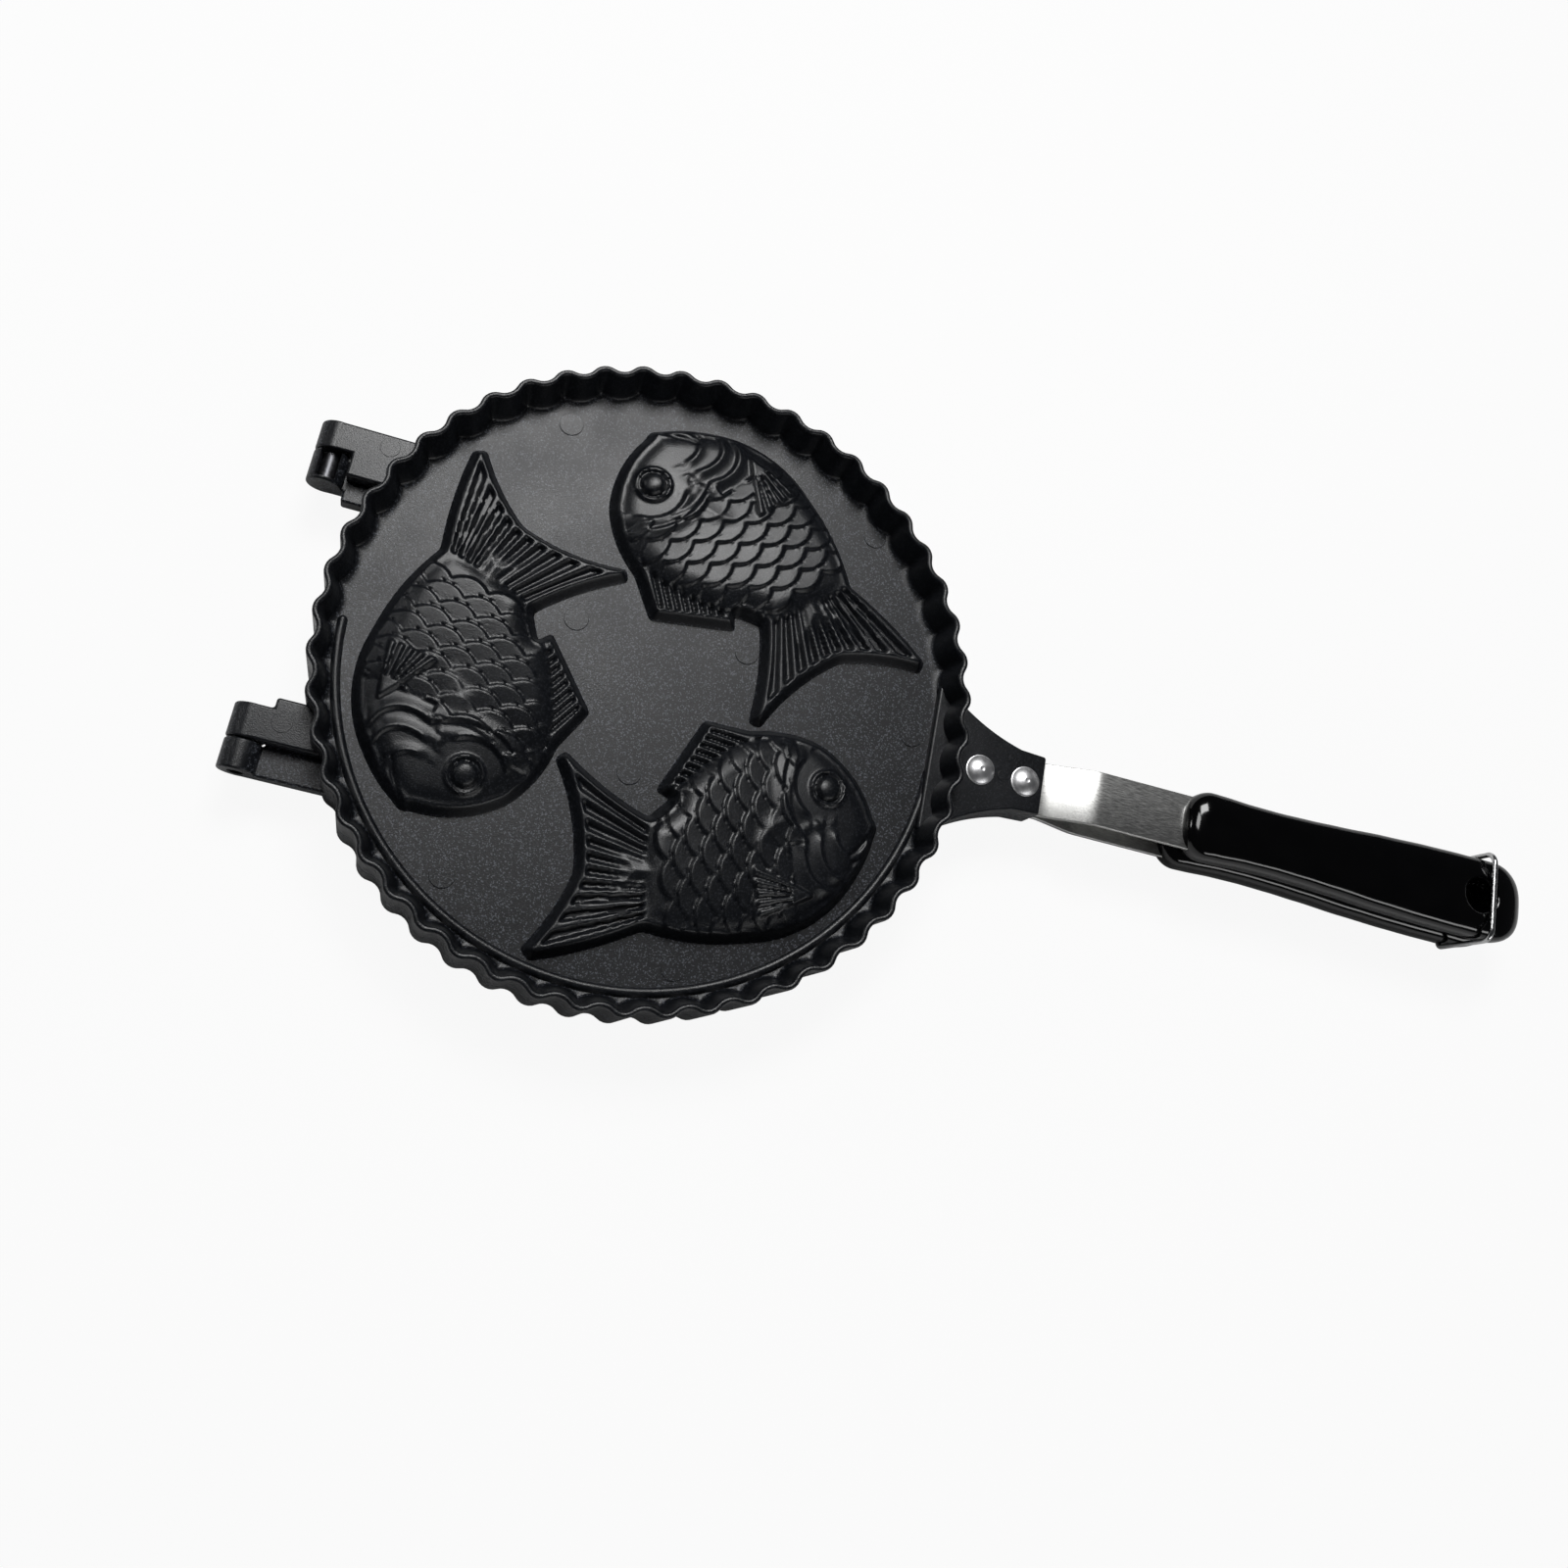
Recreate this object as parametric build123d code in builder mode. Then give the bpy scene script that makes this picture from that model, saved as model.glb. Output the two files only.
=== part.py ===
from build123d import *
from math import atan2, cos, hypot, radians, sin, sqrt, tan
import os

os.makedirs("parts", exist_ok=True)

# A fish-shaped-cake pan for the stove: two round cast halves that meet face to face,
# hinged at -X, with a strap and a grip on each half at +X and a wire latch on the grips.
# Frame: the origin is on the table under the middle of the whole length, X runs along the
# handles. Each half is drawn in its own plane: its origin is the centre of the pan on the
# face where the halves meet, and its local Z grows outwards, so one set of sizes makes both.

# --- cast plates -------------------------------------------------------------------
rim_radius = 106.0           # to the crests of the flutes
flute_count = 50
flute_depth = 2.3            # crest to valley
rim_height = 16.4            # from the meeting face to the rim's edge
rim_width = 1.9              # metal at the rim's edge
wall_lean = 2.9              # how far the inside wall leans in down to the floor
web = 3.9                    # meeting face to the outside floor
face_gap = 0.1               # each face stands this far off the meeting plane
wall_bite = 1.2              # lugs and bracket start this far inside the valleys

bead_inset = 8.6             # from the crests to the middle of the bead
bead_width = 2.6
bead_height = 1.5
bead_draft = 15.0
bead_start = 183.0           # the bead goes half way round, on the -Y side
bead_sweep = 174.0

# --- fish ----------------------------------------------------------------------------
fish_count = 3
fish_x = 31.4                # where the first fish's own origin lies on the plate
fish_y = -44.6
fish_turn = 19.5             # the first fish's direction, tail to mouth
fin_height = 4.6             # tail and fins above the floor
fin_draft = 28.0
soft_corner = 9.0            # roundings of the fish's hollow corners
belly_corner = 30.0
lip_corner = 2.0
body_height = 8.4            # crown of the body above the floor
body_crown = 200.0           # radius of the body's domed top
body_centre_x = 14.0
shoulder_height = 2.6        # the body's wall is steep up to here, and rounds in above
body_draft = 22.0
shoulder_draft = 52.0
fish_wall = 3.2              # metal between a fish's outside and its mould
mould_inset = 1.7            # the mould's edge on the meeting face, inside the fish's foot
mould_draft = 12.0
mould_body_draft = 26.0

# --- hinge ---------------------------------------------------------------------------
hinge_reach = 9.0            # from the crests out to the hinge's axis
barrel_radius = 5.8
lug_height = 5.8
eye_inner = 48.7             # the eye lug, on the +Y side of its own half
eye_width = 9.6
eye_shoulder = 7.7           # the eye lug is wider by this behind the barrel
hook_inner = 37.5            # the hook lug, on the -Y side of its own half
hook_width = 10.8
hook_wall = 1.2              # closes the hook's trough at its inner end
trough_mouth = 6.8
step_width = 3.4             # a short step beside the hook lug
hinge_gap = 0.4
pin_radius = 2.5
pin_running_gap = 0.06
pin_recess = 2.1
pin_tip_gap = 0.4

# --- handle ----------------------------------------------------------------------------
bracket_reach = 31.0         # from the crests to the bracket's end
bracket_height = 6.8
bracket_half_width = 10.2    # at its end
bracket_neck = 9.0           # length of the straight part before the end
bracket_neck_flare = 0.5
bracket_waist_reach = 6.5    # the flare passes through this point
bracket_waist_half = 16.4
bracket_root_bite = 4.0      # and ends at this one, inside the wall
bracket_root_half = 23.0
strap_width = 18.6
strap_thickness = 2.0
strap_low = 1.0              # underside of the strap where it lies under the bracket
strap_bite = 0.5             # the strap starts this far inside the crests
strap_run = 2.5              # from the bracket's end to the strap's first bend
strap_rise = 15.5            # length of its slope
strap_bare = 32.5            # from its second bend to the grip
strap_tail = 34.5            # it ends inside the grip, this far from the grip's end
strap_bend = 5.0
rivet_reach = (8.2, 24.4)    # from the crests to each rivet
rivet_radius = 2.5
rivet_head_radius = 5.1
rivet_head_height = 2.3
rivet_tail_radius = 4.0
rivet_tail_height = 0.6

# --- grips -----------------------------------------------------------------------------
grip_length = 134.0
grip_thickness = 15.0
grip_middle = 8.7            # height of the grip's centre over the meeting face
grip_front_half = 11.9
grip_waist = 30.5            # from the front to the narrowest place
grip_waist_half = 11.4
grip_hollow = 27.0           # from there to where the sides turn from hollow to round
grip_bend_half = 12.1
grip_swell_half = 13.75
grip_end_half = 14.2
grip_front_corner = 4.5
grip_rounding = 5.5
hang_inset = 21.5            # from the grip's end to the hanging hole
hang_radius = 5.5
hang_lip = 2.7

# --- wire latch --------------------------------------------------------------------------
wire_radius = 0.9
latch_inset = 18.5           # from the grip's end to the latch
latch_drop = 1.8             # the latch turns this far below the lower grip's middle
latch_gap = 0.3              # between the wire and the grips
latch_bend = 4.0
latch_foot_bend = 1.9
latch_mouth = 0.45           # how much each hole opens out at the grip's side
latch_foot = 4.7             # how far each foot reaches into the grip
latch_tip_gap = 0.3
latch_running_gap = 0.06

# --- worked out from the sizes above --------------------------------------------------------
flute_step = 360 / flute_count
valley_radius = rim_radius - flute_depth
root_radius = valley_radius - wall_bite
bead_radius = rim_radius - bead_inset

hinge_x = -rim_radius - hinge_reach
eye_outer = eye_inner + eye_width
hook_outer = hook_inner + hook_width

bracket_end = rim_radius + bracket_reach
strap_start = rim_radius - strap_bite
strap_kick = bracket_end + strap_run
strap_level = strap_kick + strap_rise
strap_top = strap_low + strap_thickness
rivet_x = [rim_radius + reach for reach in rivet_reach]

grip_start = strap_level + strap_bare
grip_end = grip_start + grip_length
grip_waist_x = grip_start + grip_waist
grip_bend_x = grip_waist_x + grip_hollow
grip_top = grip_middle + grip_thickness / 2
strap_end = grip_end - strap_tail
hang_x = grip_end - hang_inset
latch_x = grip_end - latch_inset
latch_z = -grip_middle - latch_drop
latch_half = grip_end_half + latch_gap + wire_radius
latch_reach = grip_top + latch_gap + wire_radius - latch_z
nose_radius = grip_top - latch_z

pan_x = -(grip_end + hinge_x - barrel_radius) / 2
upper = Plane((pan_x, 0, rim_height), x_dir=(1, 0, 0), z_dir=(0, 0, 1))
lower = Plane((pan_x, 0, rim_height), x_dir=(1, 0, 0), z_dir=(0, 0, -1))
diagonal = cos(radians(45))


def flute_arc_radius():
    """The crest and valley arcs share one radius, so that they run smoothly together."""
    turn = radians(flute_step / 2)
    low, high = 0.1, rim_radius / 4
    for _ in range(60):
        r = (low + high) / 2
        crest = rim_radius - r
        valley = valley_radius + r
        gap = hypot(valley * cos(turn) - crest, valley * sin(turn))
        low, high = (r, high) if gap > 2 * r else (low, r)
    return r


def fluted_disc(inset):
    """A disc with a fluted edge, its whole outline moved inwards by inset."""
    arc = flute_arc_radius()
    crest_centre = rim_radius - arc
    valley_centre = valley_radius + arc
    half_turn = radians(flute_step / 2)
    crest = rim_radius - inset
    valley = valley_radius - inset

    def join(crest_turn, valley_turn):
        cx, cy = crest_centre * cos(crest_turn), crest_centre * sin(crest_turn)
        vx, vy = valley_centre * cos(valley_turn), valley_centre * sin(valley_turn)
        share = (arc - inset) / hypot(vx - cx, vy - cy)
        return cx + (vx - cx) * share, cy + (vy - cy) * share

    with BuildSketch() as disc:
        with BuildLine():
            for k in range(flute_count):
                top = (2 * k + 1) * half_turn
                dip = top + half_turn
                before = join(top, top - half_turn)
                after = join(top, dip)
                following = join(dip + half_turn, dip)
                ThreePointArc(before, (crest * cos(top), crest * sin(top)), after)
                ThreePointArc(after, (valley * cos(dip), valley * sin(dip)), following)
        make_face()
    return disc.sketch


def corners(outline, *places):
    """The outline's corners at these places."""
    return [outline.vertices().sort_by_distance((x, y, 0))[0] for x, y in places]


# The whole fish where it meets the floor: body, dorsal fin and tail.
with BuildSketch() as fish_outline:
    with BuildLine():
        ThreePointArc((53.6, 1.6), (50.3, 14.0), (40.0, 27.5))
        ThreePointArc((40.0, 27.5), (30.0, 32.3), (17.0, 34.2))
        Line((17.0, 34.2), (2.2, 39.2))
        Line((2.2, 39.2), (-16.6, 17.9))
        Line((-16.6, 17.9), (-12.3, 14.8))
        Line((-12.3, 14.8), (-20.0, 9.6))
        ThreePointArc((-20.0, 9.6), (-31.5, 19.2), (-43.5, 33.0))
        Line((-43.5, 33.0), (-47.2, 31.0))
        ThreePointArc((-47.2, 31.0), (-44.0, 8.0), (-45.4, -5.0))
        ThreePointArc((-45.4, -5.0), (-53.4, -16.2), (-64.0, -26.2))
        Line((-64.0, -26.2), (-62.0, -30.2))
        ThreePointArc((-62.0, -30.2), (-43.0, -28.7), (-26.5, -25.2))
        ThreePointArc((-26.5, -25.2), (-10.0, -30.8), (6.0, -32.6))
        ThreePointArc((6.0, -32.6), (30.0, -28.5), (44.0, -17.5))
        ThreePointArc((44.0, -17.5), (49.7, -10.2), (53.4, -3.2))
        ThreePointArc((53.4, -3.2), (54.6, -0.8), (53.6, 1.6))
    make_face()
    fillet(corners(fish_outline, (17.0, 34.2), (-45.4, -5.0), (-26.5, -25.2)), soft_corner)
    fillet(corners(fish_outline, (6.0, -32.6), (44.0, -17.5)), belly_corner)
    fillet(corners(fish_outline, (53.4, -3.2), (53.6, 1.6)), lip_corner)

# The body alone, without its fin and tail.
with BuildSketch() as body_outline:
    with BuildLine():
        ThreePointArc((53.6, 1.6), (50.3, 14.0), (40.0, 27.5))
        ThreePointArc((40.0, 27.5), (25.0, 33.2), (8.0, 31.4))
        ThreePointArc((8.0, 31.4), (-7.0, 21.5), (-20.0, 9.6))
        ThreePointArc((-20.0, 9.6), (-24.6, -8.0), (-26.5, -25.2))
        ThreePointArc((-26.5, -25.2), (-10.0, -30.8), (6.0, -32.6))
        ThreePointArc((6.0, -32.6), (30.0, -28.5), (44.0, -17.5))
        ThreePointArc((44.0, -17.5), (49.7, -10.2), (53.4, -3.2))
        ThreePointArc((53.4, -3.2), (54.6, -0.8), (53.6, 1.6))
    make_face()
    fillet(corners(body_outline, (6.0, -32.6), (44.0, -17.5)), belly_corner)
    fillet(corners(body_outline, (53.4, -3.2), (53.6, 1.6)), lip_corner)

# A fish as it stands on the outside floor, local Z = 0 at the floor.
with BuildPart() as fish_body:
    add(body_outline.sketch)
    extrude(amount=shoulder_height, taper=body_draft)
    top = fish_body.faces().sort_by(Axis.Z)[-1]
    extrude(top, amount=body_height - shoulder_height, taper=shoulder_draft)
    with Locations((body_centre_x, 0, body_height - body_crown)):
        Sphere(body_crown, mode=Mode.INTERSECT)

with BuildPart() as fish_boss:
    add(fish_outline.sketch)
    extrude(amount=fin_height, taper=fin_draft)
    add(fish_body.part)

# The mould for one side of a cake, local Z = 0 at the meeting face. Its walls start
# below that face from the fish's full outline, so that they cross it inset.
mould_fin_depth = web + fin_height - fish_wall
mould_body_depth = web + body_height - fish_wall
mould_start = -mould_inset / tan(radians(mould_draft))
mould_body_start = -mould_inset / tan(radians(mould_body_draft))

with BuildPart() as mould_body:
    with Locations((0, 0, mould_body_start)):
        add(body_outline.sketch)
    extrude(amount=mould_body_depth - mould_body_start, taper=mould_body_draft)
    with Locations((body_centre_x, 0, mould_body_depth - body_crown)):
        Sphere(body_crown, mode=Mode.INTERSECT)

with BuildPart() as fish_mould:
    with Locations((0, 0, mould_start)):
        add(fish_outline.sketch)
    extrude(amount=mould_fin_depth - mould_start, taper=mould_draft)
    add(mould_body.part)

# The hollow fish above the floor, with its side of the mould inside it.
with BuildPart() as fish_shell:
    add(fish_boss.part)
    with Locations((0, 0, -web)):
        add(fish_mould.part, mode=Mode.SUBTRACT)


def fish_places(height, hand):
    """Where the fish stand on one half. hand is -1 on the half that is drawn upside down."""
    start = atan2(fish_y, fish_x)
    reach = hypot(fish_x, fish_y)
    places = []
    for k in range(fish_count):
        round_turn = 360 * k / fish_count
        turn = start + radians(round_turn)
        place = (reach * cos(turn), hand * reach * sin(turn), height)
        places.append(Location(place, (0, 0, hand * (fish_turn + round_turn))))
    return places


def across(half, y):
    """A plane square to the hinge, at local y. Its own Y points back past the meeting face."""
    origin = half.from_local_coords(Vector(hinge_x, y, 0))
    return Plane(origin, x_dir=half.x_dir, z_dir=half.y_dir)


def casting(half, hand):
    """The flat of the pan with its bead, hinge lugs and bracket, open where the fish stand."""
    with BuildPart() as plate:
        with BuildSketch(half.offset(face_gap)):
            add(fluted_disc(0))
        extrude(amount=web - face_gap)

        # eye lug with its barrel, and hook lug with its barrel
        wall_x = -sqrt(root_radius**2 - eye_outer**2) + wall_bite
        behind = hinge_x + barrel_radius + hinge_gap
        eye_lug = [
            (hinge_x, eye_outer), (wall_x, eye_outer), (wall_x, eye_inner - eye_shoulder),
            (behind, eye_inner - eye_shoulder), (behind, eye_inner), (hinge_x, eye_inner),
        ]
        hook_lug = [
            (hinge_x, -hook_outer), (wall_x, -hook_outer), (wall_x, -hook_inner + step_width),
            (behind, -hook_inner + step_width), (behind, -hook_inner), (hinge_x, -hook_inner),
        ]
        with BuildSketch(half.offset(face_gap)):
            for points in (eye_lug, hook_lug):
                with BuildLine():
                    Polyline(*points, close=True)
                make_face()
            Circle(root_radius, mode=Mode.SUBTRACT)
        extrude(amount=lug_height - face_gap)
        with BuildSketch(across(half, eye_inner)):
            Circle(barrel_radius)
        extrude(amount=eye_outer - eye_inner)
        with BuildSketch(across(half, -hook_outer)):
            Circle(barrel_radius)
        extrude(amount=hook_outer - hook_inner)

        # bore for the eye's pin, and the trough that drops over the other half's pin
        with BuildSketch(across(half, eye_inner)):
            Circle(pin_radius)
        extrude(amount=eye_outer - eye_inner, mode=Mode.SUBTRACT)
        running_radius = pin_radius + pin_running_gap
        with BuildSketch(across(half, -hook_outer)):
            Circle(running_radius)
            with BuildLine():
                Polyline(
                    (-running_radius, 0), (running_radius, 0),
                    (trough_mouth / 2, barrel_radius), (-trough_mouth / 2, barrel_radius),
                    close=True,
                )
            make_face()
        extrude(amount=hook_outer - hook_inner - hook_wall, mode=Mode.SUBTRACT)

        # flared bracket over the strap, with the rivet holes
        with BuildSketch(half.offset(face_gap)):
            with BuildLine():
                for side in (-1, 1):
                    end = (bracket_end, side * bracket_half_width)
                    neck = (bracket_end - bracket_neck, side * (bracket_half_width + bracket_neck_flare))
                    waist = (rim_radius + bracket_waist_reach, side * bracket_waist_half)
                    root = (rim_radius - bracket_root_bite, side * bracket_root_half)
                    Line((bracket_end, 0), end)
                    Line(end, neck)
                    ThreePointArc(neck, waist, root)
                    Line(root, (rim_radius - bracket_root_bite, 0))
            make_face()
            Circle(root_radius, mode=Mode.SUBTRACT)
        extrude(amount=bracket_height - face_gap)
        pocket_length = bracket_end - strap_start
        with BuildSketch(half):
            with Locations((strap_start + pocket_length / 2, 0)):
                Rectangle(pocket_length, strap_width)
        extrude(amount=strap_top, mode=Mode.SUBTRACT)
        with BuildSketch(half.offset(strap_top)):
            with Locations(*[(x, 0) for x in rivet_x]):
                Circle(rivet_radius)
        extrude(amount=bracket_height - strap_top, mode=Mode.SUBTRACT)

        # room for the rim, which stands on the flat
        with BuildSketch(half.offset(web)):
            add(fluted_disc(0))
        extrude(amount=rim_height - web, mode=Mode.SUBTRACT)

        # half-round bead beside the wall
        with BuildSketch(half.offset(web)):
            with BuildLine():
                CenterArc((0, 0), bead_radius, hand * bead_start, hand * bead_sweep)
                offset(amount=bead_width / 2, kind=Kind.ARC)
            make_face()
        extrude(amount=bead_height, taper=bead_draft)
    return plate


def handed(part, hand):
    """The part as it is, or mirrored for the half that is drawn upside down."""
    return part if hand > 0 else mirror(part, about=Plane.XZ)


def with_moulds(plate, half, hand):
    mould = handed(fish_mould.part, hand)
    with BuildPart() as finished:
        add(plate.part)
        with Locations(half):
            with Locations(*fish_places(0, hand)):
                add(mould, mode=Mode.SUBTRACT)
    return finished


upper_plate = with_moulds(casting(upper, 1), upper, 1)
upper_plate.part.label = "upper_plate"
export_step(upper_plate.part, "parts/upper_plate.step")

lower_plate = with_moulds(casting(lower, -1), lower, -1)
lower_plate.part.label = "lower_plate"
export_step(lower_plate.part, "parts/lower_plate.step")


def fluted_rim(half):
    """The wall round the pan, whose inside leans in towards the floor."""
    with BuildPart() as rim:
        with BuildSketch(half.offset(web)):
            add(fluted_disc(0))
        extrude(amount=rim_height - web)
        with BuildSketch(half.offset(web)):
            add(fluted_disc(rim_width + wall_lean))
        with BuildSketch(half.offset(rim_height)):
            add(fluted_disc(rim_width))
        loft(ruled=True, mode=Mode.SUBTRACT)
    return rim


upper_rim = fluted_rim(upper)
upper_rim.part.label = "upper_rim"
export_step(upper_rim.part, "parts/upper_rim.step")

lower_rim = fluted_rim(lower)
lower_rim.part.label = "lower_rim"
export_step(lower_rim.part, "parts/lower_rim.step")

# Three hollow fish on each half, named by where they stand: near the handles, on the far
# side of the pan, and by the hinge.
for half_name, half, hand in (("upper", upper, 1), ("lower", lower, -1)):
    shell = handed(fish_shell.part, hand)
    for place_name, place in zip(("near", "far", "hinge"), fish_places(web, hand)):
        with BuildPart() as fish:
            with Locations(half):
                with Locations(place):
                    add(shell)
        fish.part.label = f"{half_name}_{place_name}_fish"
        export_step(fish.part, f"parts/{half_name}_{place_name}_fish.step")


def hinge_pin(half):
    """Pressed into its own half's eye, with its tip in the other half's trough."""
    tip = hook_inner + hook_wall + pin_tip_gap
    with BuildPart() as pin:
        with BuildSketch(across(half, tip)):
            Circle(pin_radius)
        extrude(amount=eye_outer - pin_recess - tip)
    return pin


upper_hinge_pin = hinge_pin(upper)
upper_hinge_pin.part.label = "upper_hinge_pin"
export_step(upper_hinge_pin.part, "parts/upper_hinge_pin.step")

lower_hinge_pin = hinge_pin(lower)
lower_hinge_pin.part.label = "lower_hinge_pin"
export_step(lower_hinge_pin.part, "parts/lower_hinge_pin.step")


def beside(half, x):
    """A plane along the handle at local x. Its own Y points outwards from the meeting face."""
    origin = half.from_local_coords(Vector(x, 0, 0))
    return Plane(origin, x_dir=half.x_dir, z_dir=-half.y_dir)


def steel_strap(half):
    low_middle = strap_low + strap_thickness / 2
    with BuildPart() as strap:
        with BuildSketch(beside(half, 0)):
            with BuildLine():
                FilletPolyline(
                    (strap_start, low_middle), (strap_kick, low_middle),
                    (strap_level, grip_middle), (strap_end, grip_middle),
                    radius=strap_bend,
                )
            trace(line_width=strap_thickness)
        extrude(amount=strap_width / 2, both=True)
        with BuildSketch(half):
            with Locations(*[(x, 0) for x in rivet_x]):
                Circle(rivet_radius)
        extrude(amount=bracket_height, mode=Mode.SUBTRACT)
    return strap


upper_strap = steel_strap(upper)
upper_strap.part.label = "upper_strap"
export_step(upper_strap.part, "parts/upper_strap.step")

lower_strap = steel_strap(lower)
lower_strap.part.label = "lower_strap"
export_step(lower_strap.part, "parts/lower_strap.step")

# Four rivets: a domed head on the bracket, the shank, and a flat tail under the strap.
rivet_sites = (
    ("upper_rivet_plate_side", upper, rivet_x[0]),
    ("upper_rivet_grip_side", upper, rivet_x[1]),
    ("lower_rivet_plate_side", lower, rivet_x[0]),
    ("lower_rivet_grip_side", lower, rivet_x[1]),
)
dome_radius = (rivet_head_radius**2 + rivet_head_height**2) / (2 * rivet_head_height)
for site_name, half, x in rivet_sites:
    with BuildPart() as rivet:
        with BuildSketch(half.offset(bracket_height)):
            with Locations((x, 0)):
                Circle(rivet_head_radius)
        extrude(amount=rivet_head_height)
        with Locations(half):
            with Locations((x, 0, bracket_height + rivet_head_height - dome_radius)):
                Sphere(dome_radius, mode=Mode.INTERSECT)
        with BuildSketch(half.offset(strap_low)):
            with Locations((x, 0)):
                Circle(rivet_radius)
        extrude(amount=bracket_height - strap_low)
        with BuildSketch(half.offset(strap_low - rivet_tail_height)):
            with Locations((x, 0)):
                Circle(rivet_tail_radius)
        extrude(amount=rivet_tail_height)
    rivet.part.label = site_name
    export_step(rivet.part, f"parts/{site_name}.step")


def grip(half, strap, takes_latch):
    with BuildPart() as body:
        with BuildSketch(half.offset(grip_middle - grip_thickness / 2)):
            with BuildLine():
                end_centre = grip_end - grip_end_half
                front = grip_start + grip_front_corner
                for side in (-1, 1):
                    Line((grip_start, 0), (grip_start, side * (grip_front_half - grip_front_corner)))
                    ThreePointArc(
                        (grip_start, side * (grip_front_half - grip_front_corner)),
                        (front - grip_front_corner * diagonal,
                         side * (grip_front_half - grip_front_corner * (1 - diagonal))),
                        (front, side * grip_front_half),
                    )
                    ThreePointArc(
                        (front, side * grip_front_half),
                        (grip_waist_x, side * grip_waist_half),
                        (grip_bend_x, side * grip_bend_half),
                    )
                    ThreePointArc(
                        (grip_bend_x, side * grip_bend_half),
                        ((grip_bend_x + end_centre) / 2, side * grip_swell_half),
                        (end_centre, side * grip_end_half),
                    )
                    ThreePointArc(
                        (end_centre, side * grip_end_half),
                        (end_centre + grip_end_half * diagonal, side * grip_end_half * diagonal),
                        (grip_end, 0),
                    )
            make_face()
        extrude(amount=grip_thickness)
        caps = body.faces().filter_by(Axis.Z)
        fillet(caps.edges(), grip_rounding)

        # the end stays inside the circle that the latch's wire sweeps
        with BuildSketch(beside(half, 0)):
            with Locations((latch_x, latch_z)):
                Circle(nose_radius)
            with Locations((grip_start, latch_z)):
                Rectangle(latch_x - grip_start, nose_radius, align=(Align.MIN, Align.MIN))
        extrude(amount=grip_end_half, both=True, mode=Mode.INTERSECT)

        # hanging hole, and the seat for the strap
        with BuildSketch(half):
            with Locations((hang_x, 0)):
                Circle(hang_radius)
        extrude(amount=grip_top, mode=Mode.SUBTRACT)
        hole_edges = body.edges().filter_by(lambda e: e.geom_type == GeomType.CIRCLE)
        fillet(hole_edges.filter_by(lambda e: abs(e.radius - hang_radius) < 0.01), hang_lip)
        add(strap.part, mode=Mode.SUBTRACT)

        # blind holes for the latch's feet, opened out where the wire bends
        if takes_latch:
            bore_radius = wire_radius + latch_running_gap
            for side in (-1, 1):
                mouth = beside(half, latch_x).offset(side * grip_end_half)
                with BuildSketch(mouth):
                    with Locations((0, -latch_z)):
                        Circle(bore_radius)
                extrude(amount=-side * (latch_foot + latch_tip_gap), mode=Mode.SUBTRACT)
                with BuildSketch(mouth):
                    with Locations((0, -latch_z)):
                        Circle(bore_radius + latch_mouth)
                with BuildSketch(mouth.offset(-side * latch_foot_bend)):
                    with Locations((0, -latch_z)):
                        Circle(bore_radius)
                loft(mode=Mode.SUBTRACT)
    return body


upper_grip = grip(upper, upper_strap, False)
upper_grip.part.label = "upper_grip"
export_step(upper_grip.part, "parts/upper_grip.step")

lower_grip = grip(lower, lower_strap, True)
lower_grip.part.label = "lower_grip"
export_step(lower_grip.part, "parts/lower_grip.step")

# The wire latch stands up from its feet in the lower grip and passes over the upper one.
latch_plane = Plane((pan_x + latch_x, 0, rim_height), x_dir=(0, 1, 0), z_dir=(1, 0, 0))
latch_top = latch_z + latch_reach
foot_tip = grip_end_half - latch_foot
with BuildPart() as wire_latch:
    with BuildLine(latch_plane) as latch_path:
        for side in (-1, 1):
            foot_start = latch_half - latch_foot_bend
            Line((side * foot_tip, latch_z), (side * foot_start, latch_z))
            ThreePointArc(
                (side * foot_start, latch_z),
                (side * (foot_start + latch_foot_bend * diagonal),
                 latch_z + latch_foot_bend * (1 - diagonal)),
                (side * latch_half, latch_z + latch_foot_bend),
            )
            Line((side * latch_half, latch_z + latch_foot_bend), (side * latch_half, latch_top - latch_bend))
            ThreePointArc(
                (side * latch_half, latch_top - latch_bend),
                (side * (latch_half - latch_bend * (1 - diagonal)),
                 latch_top - latch_bend * (1 - diagonal)),
                (side * (latch_half - latch_bend), latch_top),
            )
        Line((latch_bend - latch_half, latch_top), (latch_half - latch_bend, latch_top))
    foot_end = Plane((pan_x + latch_x, foot_tip, rim_height + latch_z), x_dir=(1, 0, 0), z_dir=(0, 1, 0))
    with BuildSketch(foot_end):
        Circle(wire_radius)
    sweep(path=latch_path.wires()[0])
wire_latch.part.label = "wire_latch"
export_step(wire_latch.part, "parts/wire_latch.step")
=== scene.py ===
from math import atan2, cos, exp, hypot, pi, radians, sin, sqrt

import bmesh
import bpy
from mathutils import Matrix, Vector, kdtree


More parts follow.
